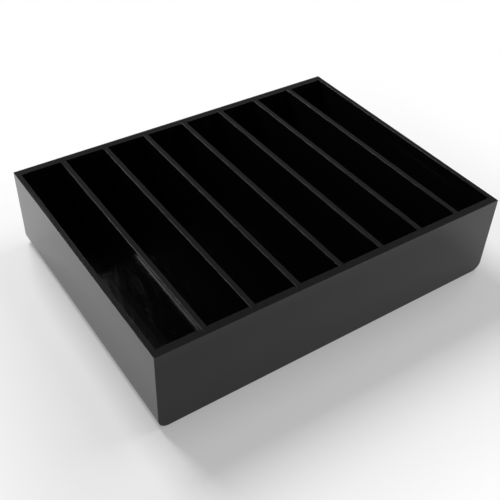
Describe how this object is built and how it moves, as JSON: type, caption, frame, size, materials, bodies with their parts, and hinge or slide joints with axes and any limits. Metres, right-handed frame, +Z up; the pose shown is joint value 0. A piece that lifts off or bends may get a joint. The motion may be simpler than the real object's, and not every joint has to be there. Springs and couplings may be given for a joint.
{
  "type": "cash tray",
  "caption": "Open rectangular counter tray of gloss black acrylic sheet, with upright dividers level with its walls that part it into equal compartments for paper money.",
  "frame": {"origin": "middle of the underside, on the surface that the tray stands on", "axes": "+X along the front panel to the right, +Y from the front to the back, +Z up"},
  "size_m": [0.222, 0.168, 0.052],
  "materials": {
    "black_acrylic": "gloss black sheet with scraped and polished edges"
  },
  "bodies": {
    "root": {"base_sheet": "black_acrylic", "front_panel": "black_acrylic", "back_panel": "black_acrylic", "divider_1": "black_acrylic", "divider_2": "black_acrylic", "divider_3": "black_acrylic", "divider_4": "black_acrylic", "divider_5": "black_acrylic", "divider_6": "black_acrylic", "divider_7": "black_acrylic"}
  },
  "joints": []
}
